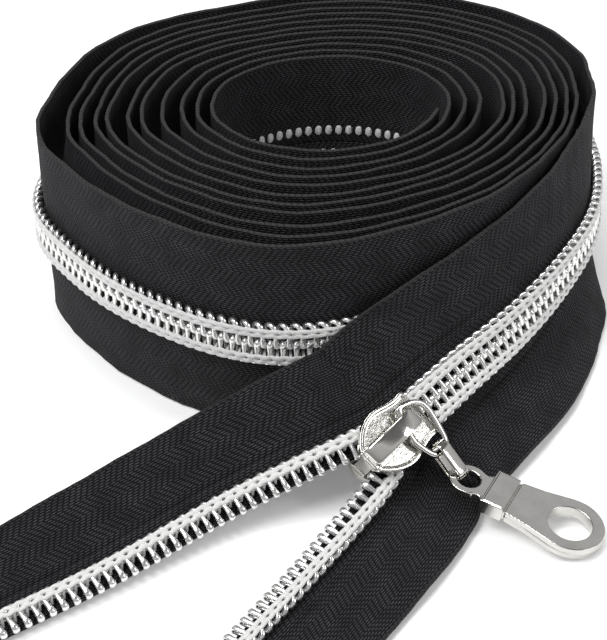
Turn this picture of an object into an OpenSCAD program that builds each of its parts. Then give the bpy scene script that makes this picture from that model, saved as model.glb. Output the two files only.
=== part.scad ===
// Coil zipper by the metre: a flat roll of closed chain, one end unrolled and opened by its slider.
// Millimetres, +Z up, lying on the table at z = 0, seen with the open ends towards -Y.

/* [Tape] */
// Width of one tape half, so the whole zipper is twice this
tape_half = 16; // [14:0.5:16]
// Thickness of the woven tape
tape_thick = 0.6; // [0.4:0.1:0.6]

/* [Coil] */
// Height of the coil's top above the tape's middle plane
coil_top = 2; // [1.8:0.1:2]
// How far the coil reaches from the chain's centre line
coil_reach = 3.1; // [2.8:0.1:3.1]

/* [Roll] */
// Largest radius of the hole through the roll
hole_long_radius = 17.7; // [16:0.1:18.5]
// Smallest radius of the hole through the roll
hole_short_radius = 15.7; // [14:0.1:16]

/* [Pull tab] */
// Radius of the round hole in the tab
pull_hole_radius = 3.1; // [2.6:0.1:3.4]
// Radius of the tab's round end
pull_end_radius = 4.85; // [4.6:0.05:5]
// Thickness of the tab's plate
pull_thick = 1.7; // [1.4:0.1:1.7]

/* [Output] */
// Piece to show

/* [Hidden] */

black = [0.06, 0.06, 0.07];
silver = [0.8, 0.8, 0.8];
white = [0.92, 0.92, 0.9];
nickel = [0.72, 0.71, 0.68];

// The route below is written about the roll; this moves it so the origin is mid-footprint.
frame_shift = [6.2, 40.8, 0];

// Stations along the chain: x, y, z, tilt at the chain, tilt at the edge, bend start, bend end.
// Tilt is in degrees from upright; the bend is where, across the tape, it changes over.
chain_path = [[44, 12, 16], [44, 0, 16], [41.5, -13, 15.5], [35.5, -24.7, 14.2],
    [27.5, -35.3, 12.1], [18.2, -45, 9.8], [9.1, -55, 7.2]];
chain_tilt = [0, 2, 3, 8, 20, 37, 55];
upper_edge_tilt = [0, 1, 13, 13, 16, 24, 55];
lower_edge_tilt = [0, 3, 23, 38, 56, 70, 76];
bend_start = [2.5, 2.5, 2.5, 2.5, 2.5, 3.5, 5];
bend_end = 9;
left_stations = [[13.2, -50.5, 8.4, 55, 48, 5, 9], [9.1, -55, 7.2, 55, 55, 5, 9],
    [4, -58.7, 6.9, 56, 55, 5, 9], [-2.8, -61.3, 5.1, 60, 58, 4, 9],
    [-14, -66.3, 2.2, 67, 66, 3, 9], [-30, -78, 0.8, 75, 70, 2.5, 9],
    [-50, -91.4, 0.5, 90, 87, 2.5, 9]];
right_stations = [[13.2, -50.5, 8.4, 55, 76, 5, 9], [9.1, -55, 7.2, 55, 76, 5, 9],
    [6.4, -60.1, 5.1, 58, 84, 4.6, 8], [1.7, -67, 3, 74, 89, 3.5, 8],
    [-5.5, -77, 1.1, 87, 90, 2.5, 7], [-17, -94, 0.7, 89, 89, 2.5, 9],
    [-28, -115, 0.6, 90, 90, 2.5, 9]];
slider_station = 6;
last_station = 11;
zone_start = 5;
zone_end = 8.5;
look_reach = 0.9;
weave_step = 0.8;

// Heights and widths across the chain, from its centre line and from the tape's middle plane.
tape_inner = 0.05;
margin_width = 5.5;
margin_gap = 0.1;
coil_gap = 0.09;
stitch_gap = 0.11;
cord_inner = 1.55;
cord_outer = 2.55;
cord_top = 1.3;
cord_gap = 0.08;
stitch_inner = 1.7;
stitch_outer = 2.9;
stitch_thick = 0.16;

// The roll.
roll_middle = 16;
roll_split = 0.05;
coil_band = 3.2;
coil_proud = 1.9;
roll_hole_centre = [1, -1];
roll_outline = [[-44, -8], [-38, -20], [-30.5, -29.5], [-20, -38], [-11, -42.7], [-3, -44],
    [9, -40.6], [20.5, -34], [28, -27.5], [37, -14.5], [40.6, -4], [41.4, 10], [38, 21],
    [31, 29], [21, 35.5], [9, 38.5], [-2, 38.3], [-14, 35], [-26, 30.5], [-35, 23], [-40.5, 12]];
outline_steps = 4;
hole_steps = 60;

// The slider: origin on the chain's centre line, x back along the closed chain, z out of the tape.
slider_at = [9.1, -55, 7.2];
slider_azimuth = 48;
slider_rise = 11.35;
slider_roll = 35;
shield_half = [[-7.5, 0], [-7.4, 0.8], [-6.9, 1.8], [-6.1, 2.7], [-4.8, 3.7], [-3.2, 4.4],
    [-1.6, 4.6], [-0.2, 4.35], [1.2, 4], [2.6, 3.8], [3.8, 3.85], [4.2, 3.5], [4.3, 2.6], [4.3, 0]];
lower_shield_bottom = -2.1;
lower_shield_top = -0.9;
upper_shield_bottom = 2.5;
upper_shield_top = 3.4;
rim_height = 0.25;
rim_width = 0.5;
flange_inner = 3.45;
flange_slot = 0.75;
flange_start = -1;
neck_half = [[-7, 0], [-7, 1.1], [-5.9, 1.1], [-4.5, 0.75], [-3.4, 0.3], [-3.1, 0]];
crown_outer = [[-7, 3.7], [-6.8, 4.2], [-6, 4.95], [-4.4, 5.7], [-2.4, 6.15], [-0.4, 6.25],
    [1.4, 6.05], [2.5, 5.5], [3.05, 4.6], [3.1, 3.45]];
crown_inner = [[2.5, 3.45], [2.4, 4.5], [2, 5.15], [1.2, 5.5], [-0.4, 5.65], [-2.4, 5.55],
    [-4.2, 5.1], [-5.5, 4.4], [-6, 3.7]];
crown_width = 2.7;
crown_leg_width = 1.7;
lock_profile = [[-5.4, 3.5], [-5.4, 3.9], [-2.6, 4], [-1.4, 3.95], [-1.4, 2.5], [-1.8, 2.5],
    [-1.8, 3.6], [-2.7, 3.6]];
lock_width = 1.3;
lock_slot = [1, 1.8];

// The pull ring, a rounded triangle whose front side passes under the crown.
ring_outer = [[0.8, 2.6], [2.2, 2.55], [3.7, 1.95], [4.8, 0.9], [5.2, -0.5], [5, -2], [4.6, -3.8],
    [4.1, -5.4], [3.3, -6.4], [2.2, -6.65], [1.1, -6.5], [0.2, -5.8], [-0.4, -4.3], [-0.8, -2.4],
    [-0.3, -0.3], [0.3, 1.6]];
ring_inner = [[1.6, 1.75], [2.4, 1.65], [3.4, 1.2], [4.1, 0.4], [4.25, -0.6], [4.05, -2], [3.7, -3.6],
    [3.3, -5], [2.8, -5.6], [2.1, -5.7], [1.4, -5.6], [0.9, -5.1], [0.5, -4], [0.2, -2.4],
    [0.65, -0.6], [1.2, 0.9]];
ring_height = 4.55;
ring_droop = 8;
ring_thick = 1;

// The connector link and the tab.
ring_far_bar = [2.1, -6.08];
link_inner_radius = 1.05;
link_thick = 0.4;
link_width = 1.45;
eye_at = [19.3, -61.6, 4.5];
pull_run = [0.87, -0.46, -0.178];
eye_radius = 2.75;
eye_hole_radius = 1.7;
eye_thick = 1;
eye_rim = 2.22;
eye_turn = 20;
block_outline = [[1.7, -1.9], [2.5, -2.4], [2.9, -3.45], [6.4, -3.45], [6.4, 3.45], [2.9, 3.45],
    [2.5, 2.4], [1.7, 1.9]];
block_thick = 2.2;
groove_end = 6.9;
groove_half = 3.3;
groove_thick = 1.3;
pull_hole_at = 15;
plate_half = [[6.9, 3.4], [10, 3.8], [12.4, 4.35]];
bore_sides = 96;

function unit(v) = v / norm(v);
function total(v) = [for (i = [0 : len(v) - 1]) 1] * v;
function ease(x) = x <= 0 ? 0 : x >= 1 ? 1 : x * x * (3 - 2 * x);
function blend(a, b, x) = a + (b - a) * x;
function place(v) = [v[0], v[1], v[2]];

// A smooth curve through stations, between station i + 1 and station i + 2.
function curve(q, i, u) = 0.5 * (2 * q[i + 1] + (q[i + 2] - q[i]) * u
    + (2 * q[i] - 5 * q[i + 1] + 4 * q[i + 2] - q[i + 3]) * u * u
    + (3 * q[i + 1] - q[i] - 3 * q[i + 2] + q[i + 3]) * u * u * u);
function with_end(q) = concat(q, [2 * q[len(q) - 1] - q[len(q) - 2]]);
function with_start(q) = concat([2 * q[0] - q[1]], q);
function closed_stations(edge) = [for (i = [0 : len(chain_path) - 1])
    concat(chain_path[i], [chain_tilt[i], edge[i], bend_start[i], bend_end])];
upper_closed = with_start(with_end(closed_stations(upper_edge_tilt)));
lower_closed = with_start(with_end(closed_stations(lower_edge_tilt)));
left_open = with_end(left_stations);
right_open = with_end(right_stations);

// side is 1 for the upper, left half and -1 for the lower, right half.
function along(q, t, most) = let(i = min(floor(t), most)) curve(q, i, t - i);
function station(side, t) = t <= slider_station
    ? along(side > 0 ? upper_closed : lower_closed, t, slider_station - 1)
    : along(side > 0 ? left_open : right_open, t - slider_station, last_station - slider_station - 1);
function heading(side, t) = unit(place(station(side, min(t + look_reach, last_station)))
    - place(station(side, max(t - look_reach, 0))));
function tilt(s, w) = blend(s[3], s[4], ease((w - s[5]) / (s[6] - s[5])));
function lean(a, h, z) = cos(a) * z + sin(a) * h;
function across(side, s, h, z, w) = let(n = max(1, ceil(w / weave_step)), d = w / n)
    side * d * total([for (j = [0 : n - 1]) lean(tilt(s, (j + 0.5) * d), h, z)]);
function spot(side, t, w, n) = let(s = station(side, t), f = heading(side, t),
    h = unit(cross(f, [0, 0, 1])), z = cross(h, f))
    place(s) + across(side, s, h, z, w) + n * cross(lean(tilt(s, w), h, z), f);

// A band swept along one half: tops and bottoms are matching lists of [across, height] pairs.
module band(side, stops, tops, bottoms) {
    m = len(tops[0]);
    k = 2 * m;
    n = len(stops);
    points = [for (i = [0 : n - 1]) each [for (j = [0 : k - 1])
        let(p = j < m ? tops[i][j] : bottoms[i][k - 1 - j]) spot(side, stops[i], p[0], p[1])]];
    walls = [for (i = [0 : n - 2], j = [0 : k - 1]) let(a = i * k + j, b = i * k + (j + 1) % k)
        each [[b, a, a + k], [b, a + k, b + k]]];
    starts = [for (j = [0 : m - 2]) each [[j, j + 1, k - 2 - j], [j, k - 2 - j, k - 1 - j]]];
    last = (n - 1) * k;
    ends = [for (f = starts) [f[2] + last, f[1] + last, f[0] + last]];
    faces = concat(walls, starts, ends);
    polyhedron(points = points, faces = side > 0 ? faces : [for (f = faces) [f[2], f[1], f[0]]]);
}
function level(list, n) = [for (w = list) [w, n]];
function stops(from, to, count) = [for (i = [0 : count]) blend(from, to, i / count)];

// Places across the tape, closer together towards the chain.
function tape_places(inner) = [for (j = [0 : 6]) blend(inner, tape_half, pow(j / 6, 1.5))];
module tape(side, marks, inner) {
    tops = [for (w0 = inner) level(tape_places(w0), tape_thick / 2)];
    bottoms = [for (w0 = inner) level(tape_places(w0), -tape_thick / 2)];
    band(side, marks, tops, bottoms);
}
module steady_band(side, marks, top, bottom) {
    band(side, marks, [for (t = marks) top], [for (t = marks) bottom]);
}
module coil(side, marks, inner) {
    foot = tape_thick / 2 + coil_gap;
    steady_band(side, marks,
        [[inner, foot], [inner, coil_top], [coil_reach, coil_top], [coil_reach, foot]],
        [[cord_inner - cord_gap, foot], [cord_inner - cord_gap, cord_top + cord_gap],
            [cord_outer + cord_gap, cord_top + cord_gap], [cord_outer + cord_gap, foot]]);
}
module core_cord(side, marks) {
    steady_band(side, marks, level([cord_inner, cord_outer], cord_top),
        level([cord_inner, cord_outer], tape_thick / 2 + coil_gap));
}
module stitching(side, marks) {
    foot = coil_top + stitch_gap;
    steady_band(side, marks, level([stitch_inner, stitch_outer], foot + stitch_thick),
        level([stitch_inner, stitch_outer], foot));
}
closed_marks = stops(0, zone_start - 0.02, 15);
zone_marks = stops(zone_start, zone_end, 21);
open_marks = stops(zone_end + 0.02, last_station, 10);
outer_band = margin_width + margin_gap;
closed_tape_marks = concat(closed_marks, stops(zone_start, slider_station, 6));
closed_tape_inner = concat([for (t = closed_marks) tape_inner], [for (i = [0 : 6]) outer_band]);
open_tape_marks = concat(stops(slider_station + 0.02, zone_end, 15), open_marks);
open_tape_inner = concat([for (i = [0 : 15]) outer_band], [for (t = open_marks) tape_inner]);

// Roll: closed outlines grown outwards from the middle for the proud coil.
function looped(q) = let(n = len(q)) [for (i = [0 : n - 1], j = [0 : outline_steps - 1])
    curve([q[(i + n - 1) % n], q[i], q[(i + 1) % n], q[(i + 2) % n]], 0, j / outline_steps)];
function grown(q, d) = [for (p = q) p + d * unit(p - roll_hole_centre)];
module roll_ring(bottom, top, proud) {
    translate([0, 0, bottom])
        linear_extrude(height = top - bottom)
            difference() {
                polygon(grown(looped(roll_outline), proud));
                polygon([for (i = [0 : hole_steps - 1]) roll_hole_centre
                    + [hole_long_radius * cos(360 * i / hole_steps),
                        hole_short_radius * sin(360 * i / hole_steps)]]);
            }
}

module about_slider() {
    translate(slider_at)
        rotate([slider_roll, -slider_rise, slider_azimuth])
            children();
}
function mirrored(half) = concat(half, [for (i = [len(half) - 2 : -1 : 1]) [half[i][0], -half[i][1]]]);
module side_wall(bottom, top) {
    for (s = [-1, 1])
        translate([0, 0, bottom])
            linear_extrude(height = top - bottom)
                intersection() {
                    polygon(mirrored(shield_half));
                    translate([flange_start, s > 0 ? flange_inner : -flange_inner - 3])
                        square([8, 3]);
                }
}

module roll_upper_tape() {
    color(black) roll_ring(roll_middle + coil_band, roll_middle + tape_half, 0);
}
module roll_lower_tape() {
    color(black) roll_ring(roll_middle - tape_half, roll_middle - coil_band, 0);
}
module roll_upper_coil() {
    color(silver) roll_ring(roll_middle + roll_split, roll_middle + coil_band - roll_split, coil_proud);
}
module roll_lower_coil() {
    color(silver) roll_ring(roll_middle - coil_band + roll_split, roll_middle - roll_split, coil_proud);
}
module closed_upper_tape() {
    color(black) tape(1, closed_tape_marks, closed_tape_inner);
}
module closed_lower_tape() {
    color(black) tape(-1, closed_tape_marks, closed_tape_inner);
}
module closed_upper_coil() {
    color(silver) coil(1, closed_marks, tape_inner);
}
module closed_lower_coil() {
    color(silver) coil(-1, closed_marks, tape_inner);
}
module closed_upper_core_cord() {
    color(white) core_cord(1, closed_marks);
}
module closed_lower_core_cord() {
    color(white) core_cord(-1, closed_marks);
}
module closed_upper_stitching() {
    color(white) stitching(1, closed_marks);
}
module closed_lower_stitching() {
    color(white) stitching(-1, closed_marks);
}
module slider_zone_tape(side) {
    color(black)
        steady_band(side, zone_marks, level([tape_inner, 2, 4, margin_width], tape_thick / 2),
            level([tape_inner, 2, 4, margin_width], -tape_thick / 2));
}
module slider_zone_left_tape() {
    slider_zone_tape(1);
}
module slider_zone_right_tape() {
    slider_zone_tape(-1);
}
module slider_zone_left_coil() {
    color(silver) coil(1, zone_marks, tape_inner);
}
module slider_zone_right_coil() {
    color(silver) coil(-1, zone_marks, tape_inner);
}
module slider_zone_left_core_cord() {
    color(white) core_cord(1, zone_marks);
}
module slider_zone_right_core_cord() {
    color(white) core_cord(-1, zone_marks);
}
module slider_zone_left_stitching() {
    color(white) stitching(1, zone_marks);
}
module slider_zone_right_stitching() {
    color(white) stitching(-1, zone_marks);
}
module open_left_tape() {
    color(black) tape(1, open_tape_marks, open_tape_inner);
}
module open_right_tape() {
    color(black) tape(-1, open_tape_marks, open_tape_inner);
}
module open_left_coil() {
    color(silver) coil(1, open_marks, tape_inner);
}
module open_right_coil() {
    color(silver) coil(-1, open_marks, tape_inner);
}
module open_left_core_cord() {
    color(white) core_cord(1, open_marks);
}
module open_right_core_cord() {
    color(white) core_cord(-1, open_marks);
}
module open_left_stitching() {
    color(white) stitching(1, open_marks);
}
module open_right_stitching() {
    color(white) stitching(-1, open_marks);
}

module slider_body() {
    color(nickel) about_slider() {
        translate([0, 0, lower_shield_bottom])
            linear_extrude(height = lower_shield_top - lower_shield_bottom)
                polygon(mirrored(shield_half));
        side_wall(lower_shield_top, -flange_slot);
        side_wall(flange_slot, upper_shield_bottom);
        translate([0, 0, lower_shield_top])
            linear_extrude(height = upper_shield_bottom - lower_shield_top)
                polygon(mirrored(neck_half));
        difference() {
            translate([0, 0, upper_shield_bottom])
                linear_extrude(height = upper_shield_top - upper_shield_bottom)
                    polygon(mirrored(shield_half));
            translate([-1.6, 0, upper_shield_bottom - 1])
                linear_extrude(height = 3)
                    square(lock_slot, center = true);
        }
    }
}
module slider_crown_cap() {
    color(nickel) about_slider()
        rotate([90, 0, 0])
            difference() {
                translate([0, 0, -crown_width / 2])
                    linear_extrude(height = crown_width)
                        polygon(concat(crown_outer, crown_inner));
                for (s = [-1, 1])
                    translate([1.9, 0, s * (crown_leg_width / 2 + 1) - 1])
                        cube([2, 5.2, 2]);
            }
}
module slider_lock_spring() {
    color(nickel) about_slider()
        rotate([90, 0, 0])
            translate([0, 0, -lock_width / 2])
                linear_extrude(height = lock_width)
                    polygon(lock_profile);
}
module at_ring() {
    about_slider()
        translate([0, 0, ring_height])
            rotate([ring_droop, 0, 0])
                children();
}
module pull_ring() {
    color(nickel) at_ring()
        translate([0, 0, -ring_thick / 2])
            linear_extrude(height = ring_thick)
                difference() {
                    polygon(looped(ring_outer));
                    polygon(looped(ring_inner));
                }
}

// World directions of the slider and ring, for the parts hung from them.
slide_way = [cos(slider_rise) * cos(slider_azimuth), cos(slider_rise) * sin(slider_azimuth),
    sin(slider_rise)];
level_left = [-sin(slider_azimuth), cos(slider_azimuth), 0];
climb = cross(slide_way, level_left);
slider_left = cos(slider_roll) * level_left + sin(slider_roll) * climb;
slider_out = cos(slider_roll) * climb - sin(slider_roll) * level_left;
ring_left = cos(ring_droop) * slider_left + sin(ring_droop) * slider_out;
ring_hook = slider_at + ring_height * slider_out + ring_far_bar[0] * slide_way
    + ring_far_bar[1] * ring_left;
pull_way = unit(pull_run);
pull_left = unit(cross([0, 0, 1], pull_way));
pull_out = cross(pull_way, pull_left);
eye_hook = eye_at + eye_rim * (sin(eye_turn) * pull_left - cos(eye_turn) * pull_way);
eye_bar_way = cos(eye_turn) * pull_left + sin(eye_turn) * pull_way;
link_way = unit(eye_hook - ring_hook);
bars_way = slide_way + eye_bar_way;
link_side = unit(bars_way - (bars_way * link_way) * link_way);
link_up = cross(link_way, link_side);
link_reach = norm(eye_hook - ring_hook);
module in_frame(at, x, y, z) {
    multmatrix([[x[0], y[0], z[0], at[0]], [x[1], y[1], z[1], at[1]], [x[2], y[2], z[2], at[2]],
        [0, 0, 0, 1]])
        children();
}
module racetrack(r) {
    for (x = [0, link_reach])
        translate([x, 0])
            circle(r = r, $fn = 48);
    translate([0, -r])
        square([link_reach, 2 * r]);
}
module pull_link() {
    color(nickel) in_frame(ring_hook, link_way, link_side, link_up)
        rotate([90, 0, 0])
            translate([0, 0, -link_width / 2])
                linear_extrude(height = link_width)
                    difference() {
                        racetrack(link_inner_radius + link_thick);
                        racetrack(link_inner_radius);
                    }
}
module slab(t) {
    translate([0, 0, -t / 2])
        linear_extrude(height = t)
            children();
}
module pull_tab() {
    color(nickel) in_frame(eye_at, pull_way, pull_left, pull_out)
        difference() {
            union() {
                cylinder(h = eye_thick, r = eye_radius, center = true, $fn = bore_sides);
                slab(block_thick) polygon(block_outline);
                slab(groove_thick)
                    translate([6, -groove_half])
                        square([groove_end - 5.5, 2 * groove_half]);
                slab(pull_thick)
                    polygon(concat(plate_half, [[pull_hole_at, 4.5], [pull_hole_at, -4.5]],
                        [for (i = [2 : -1 : 0]) [plate_half[i][0], -plate_half[i][1]]]));
                translate([pull_hole_at, 0, 0])
                    cylinder(h = pull_thick, r = pull_end_radius, center = true, $fn = bore_sides);
            }
            cylinder(h = block_thick + 2, r = eye_hole_radius, center = true, $fn = bore_sides);
            translate([pull_hole_at, 0, 0])
                cylinder(h = pull_thick + 2, r = pull_hole_radius, center = true, $fn = bore_sides);
        }
}
module moved() {
    translate(frame_shift)
        children();
}

moved() roll_upper_tape();
moved() roll_lower_tape();
moved() roll_upper_coil();
moved() roll_lower_coil();
moved() closed_upper_tape();
moved() closed_lower_tape();
moved() closed_upper_coil();
moved() closed_lower_coil();
moved() closed_upper_core_cord();
moved() closed_lower_core_cord();
moved() closed_upper_stitching();
moved() closed_lower_stitching();
moved() slider_zone_left_tape();
moved() slider_zone_right_tape();
moved() slider_zone_left_coil();
moved() slider_zone_right_coil();
moved() slider_zone_left_core_cord();
moved() slider_zone_right_core_cord();
moved() slider_zone_left_stitching();
moved() slider_zone_right_stitching();
moved() open_left_tape();
moved() open_right_tape();
moved() open_left_coil();
moved() open_right_coil();
moved() open_left_core_cord();
moved() open_right_core_cord();
moved() open_left_stitching();
moved() open_right_stitching();
moved() slider_body();
moved() slider_crown_cap();
moved() slider_lock_spring();
moved() pull_ring();
moved() pull_link();
moved() pull_tab();
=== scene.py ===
import math
import bmesh
import bpy
import numpy as np
from mathutils import Matrix, Vector


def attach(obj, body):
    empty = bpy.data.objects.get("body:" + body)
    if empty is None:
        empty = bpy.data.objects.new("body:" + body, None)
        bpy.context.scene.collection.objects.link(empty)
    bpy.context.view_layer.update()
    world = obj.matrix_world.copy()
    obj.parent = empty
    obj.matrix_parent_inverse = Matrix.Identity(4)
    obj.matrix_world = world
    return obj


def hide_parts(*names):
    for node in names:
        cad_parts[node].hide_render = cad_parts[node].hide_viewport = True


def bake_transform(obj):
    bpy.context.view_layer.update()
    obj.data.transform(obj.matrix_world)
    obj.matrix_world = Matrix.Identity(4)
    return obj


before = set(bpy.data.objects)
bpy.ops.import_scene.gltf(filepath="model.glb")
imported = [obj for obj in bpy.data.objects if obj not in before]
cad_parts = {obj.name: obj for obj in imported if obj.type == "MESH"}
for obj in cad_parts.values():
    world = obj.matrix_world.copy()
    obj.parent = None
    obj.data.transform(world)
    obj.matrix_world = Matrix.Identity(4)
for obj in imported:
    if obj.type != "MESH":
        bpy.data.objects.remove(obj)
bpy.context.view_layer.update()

# Lengths are in mm until they are multiplied by MM; meshes and lights are in metres.
MM = 0.001
ROOT, SLIDER = "chain_and_roll", "slider"
SHIFT = np.array([6.2, 40.8, 0.0])    # from the route's own origin to the frame's
PITCH = 1.75                          # from one coil loop to the next, along the chain
HALF = 16.0                           # width of one tape half
HALF_THICK = 0.3                      # from the tape's middle to either face
MIDDLE = 16.0                         # height of the rolled chain's middle over the table

# ---------------------------------------------------------------- camera, floor and light
LENS, SENSOR = 94.5, 36
CAMERA_DOWN, CAMERA_ROLL = math.radians(35), math.radians(-1.1)
CAMERA_AWAY = 244
LOOKED_AT = np.array([-3, -38.5, 16.0])
scene = bpy.context.scene
cam_data = bpy.data.cameras.new("camera")
cam = bpy.data.objects.new("camera", cam_data)
scene.collection.objects.link(cam)
scene.camera = cam
cam_data.lens = LENS
cam_data.sensor_width = SENSOR
cam_data.sensor_fit = "AUTO"
cam_data.clip_start = 0.01
cam_data.clip_end = 10
forward = np.array([0, math.cos(CAMERA_DOWN), -math.sin(CAMERA_DOWN)])
right = np.array([1.0, 0, 0])
up = np.cross(right, forward)
cam_x = right * math.cos(CAMERA_ROLL) + up * math.sin(CAMERA_ROLL)
cam_y = -right * math.sin(CAMERA_ROLL) + up * math.cos(CAMERA_ROLL)
eye = (LOOKED_AT + SHIFT - forward * CAMERA_AWAY) * MM
cam.matrix_world = Matrix([[cam_x[i], cam_y[i], -forward[i], eye[i]] for i in range(3)]
                          + [[0, 0, 0, 1]])


def node_material(name):
    m = bpy.data.materials.new(name)
    m.use_nodes = True
    nt = m.node_tree
    nt.nodes.clear()
    out = nt.nodes.new("ShaderNodeOutputMaterial")
    b = nt.nodes.new("ShaderNodeBsdfPrincipled")
    nt.links.new(b.outputs[0], out.inputs[0])
    return m, nt, b


def maths(nt, op, a, b=None, c=None):
    n = nt.nodes.new("ShaderNodeMath")
    n.operation = op
    for i, v in enumerate((a, b, c)):
        if v is None:
            continue
        if isinstance(v, (int, float)):
            n.inputs[i].default_value = v
        else:
            nt.links.new(v, n.inputs[i])
    return n.outputs[0]


def noise(nt, vec, scale, detail=3.0, rough=0.6):
    n = nt.nodes.new("ShaderNodeTexNoise")
    n.inputs["Scale"].default_value = scale
    n.inputs["Detail"].default_value = detail
    n.inputs["Roughness"].default_value = rough
    nt.links.new(vec, n.inputs["Vector"])
    return n.outputs["Fac"]


def ramp(nt, fac, stops):
    r = nt.nodes.new("ShaderNodeValToRGB")
    while len(r.color_ramp.elements) < len(stops):
        r.color_ramp.elements.new(0.5)
    for e, (p, c) in zip(r.color_ramp.elements, stops):
        e.position = p
        e.color = (*c, 1) if len(c) == 3 else c
    nt.links.new(fac, r.inputs[0])
    return r.outputs[0]


def bump(nt, height, strength, distance, b):
    n = nt.nodes.new("ShaderNodeBump")
    n.inputs["Strength"].default_value = strength
    n.inputs["Distance"].default_value = distance
    nt.links.new(height, n.inputs["Height"])
    nt.links.new(n.outputs[0], b.inputs["Normal"])


def object_coords(nt):
    return nt.nodes.new("ShaderNodeTexCoord").outputs["Object"]


def plus(nt, a, b):
    return maths(nt, "ADD", a, b)


def times(nt, a, b):
    return maths(nt, "MULTIPLY", a, b)


def weave_coords(nt):
    """The weave map's node, and its two directions: along the tape and across it, in mm."""
    uv = nt.nodes.new("ShaderNodeUVMap")
    uv.uv_map = "weave"
    sep = nt.nodes.new("ShaderNodeSeparateXYZ")
    nt.links.new(uv.outputs[0], sep.inputs[0])
    return uv.outputs[0], sep.outputs[0], sep.outputs[1]


def tape_material():
    """Herringbone twill: short floats in columns, stepped one way and then the other."""
    column_width, float_length = 0.36, 0.95
    columns_each_way, step = 6.0, 0.27
    m, nt, b = node_material("woven_tape")
    uv, along, over = weave_coords(nt)
    wob = noise(nt, uv, 0.9, 2.0)
    column = times(nt, over, 1 / column_width)
    zig = maths(nt, "PINGPONG", maths(nt, "FLOOR", column), columns_each_way)
    run = plus(nt, times(nt, along, 1 / float_length), times(nt, zig, step))
    run = plus(nt, run, times(nt, wob, 0.35))
    cu = maths(nt, "SUBTRACT", times(nt, maths(nt, "FRACT", column), 2.0), 1.0)
    ru = maths(nt, "SUBTRACT", times(nt, maths(nt, "FRACT", run), 2.0), 1.0)
    r2 = times(nt, ru, ru)
    knit = times(nt, maths(nt, "SUBTRACT", 1.0, times(nt, cu, cu)),
                 maths(nt, "SUBTRACT", 1.0, times(nt, r2, r2)))
    fine = noise(nt, uv, 6.0, 4.0, 0.7)
    height = plus(nt, knit, times(nt, fine, 0.45))
    big = noise(nt, uv, 0.25, 3.0)
    # Colour: painted highlight on the floats' raised middles and painted shade in the hollows between them,
    # over tone that differs at random.
    tone_and_float_highlight = times(nt, plus(nt, times(nt, knit, 0.7), times(nt, fine, 0.5)),
                 plus(nt, times(nt, big, 0.5), 0.7))
    base = ramp(nt, tone_and_float_highlight, [(0.0, (0.0008, 0.0008, 0.001)), (0.4, (0.004, 0.004, 0.0045)),
                           (0.72, (0.017, 0.017, 0.019)), (1.0, (0.07, 0.07, 0.076))])
    # Painted highlight: a lighter grey along the tape's outer edge, where light catches the top rims of the
    # wraps; fine noise gives it fuzz.
    selvage = maths(nt, "GREATER_THAN", over, HALF - 0.25)
    mix = nt.nodes.new("ShaderNodeMix")
    mix.data_type = "RGBA"
    nt.links.new(selvage, mix.inputs[0])
    nt.links.new(base, mix.inputs[6])
    edge = ramp(nt, fine, [(0.2, (0.012, 0.012, 0.013)), (0.8, (0.055, 0.055, 0.055))])
    nt.links.new(edge, mix.inputs[7])
    nt.links.new(mix.outputs[2], b.inputs["Base Color"])
    nt.links.new(plus(nt, times(nt, fine, 0.25), 0.58), b.inputs["Roughness"])
    b.inputs["Specular IOR Level"].default_value = 0.13
    b.inputs["Sheen Weight"].default_value = 0.03
    b.inputs["Sheen Roughness"].default_value = 0.5
    b.inputs["Sheen Tint"].default_value = (0.6, 0.62, 0.68, 1)
    bump(nt, height, 1.0, 0.0003, b)
    return m


def thread_material():
    """White thread with the slant of its plies."""
    m, nt, b = node_material("white_thread")
    _, along, over = weave_coords(nt)
    twist = plus(nt, times(nt, along, 9.0), times(nt, over, 2.0))
    ply = maths(nt, "SINE", times(nt, twist, 2.6))
    fine = noise(nt, object_coords(nt), 9000, 3.0)
    height = plus(nt, times(nt, ply, 0.5), fine)
    base = ramp(nt, fine, [(0.25, (0.50, 0.50, 0.49)), (0.6, (0.72, 0.72, 0.71))])
    nt.links.new(base, b.inputs["Base Color"])
    b.inputs["Roughness"].default_value = 0.55
    b.inputs["Sheen Weight"].default_value = 0.3
    b.inputs["Specular IOR Level"].default_value = 0.45
    bump(nt, height, 0.55, 0.00006, b)
    return m


def silver_material():
    """Metallised coil wire: bright, slightly dulled, with fine drawn scratches."""
    m, nt, b = node_material("silver_wire")
    oc = object_coords(nt)
    f = noise(nt, oc, 2600, 4.0)
    g = noise(nt, oc, 520, 2.0)
    base = ramp(nt, g, [(0.3, (0.70, 0.70, 0.69)), (0.7, (0.88, 0.88, 0.87))])
    nt.links.new(base, b.inputs["Base Color"])
    b.inputs["Metallic"].default_value = 0.93
    nt.links.new(plus(nt, times(nt, f, 0.22), 0.12), b.inputs["Roughness"])
    bump(nt, f, 0.25, 0.00003, b)
    return m


def nickel_material(name, rough, grain, scale, tint):
    """Nickel plate: rough sets how dull it is, grain and scale how coarse its skin."""
    m, nt, b = node_material(name)
    oc = object_coords(nt)
    f = noise(nt, oc, scale, 5.0, 0.65)
    g = noise(nt, oc, 380, 3.0)
    dark = tuple(c * 0.86 for c in tint)
    nt.links.new(ramp(nt, g, [(0.3, dark), (0.7, tint)]), b.inputs["Base Color"])
    b.inputs["Metallic"].default_value = 1.0
    nt.links.new(plus(nt, times(nt, f, rough), rough * 0.55), b.inputs["Roughness"])
    bump(nt, f, grain, 0.00006, b)
    return m


TAPE, THREAD, SILVER = tape_material(), thread_material(), silver_material()
CAST = nickel_material("cast_nickel", 0.15, 0.34, 950, (0.70, 0.69, 0.65))
BRIGHT = nickel_material("polished_nickel", 0.07, 0.05, 1100, (0.72, 0.70, 0.66))
SATIN = nickel_material("satin_nickel", 0.13, 0.035, 1300, (0.66, 0.65, 0.62))


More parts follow.
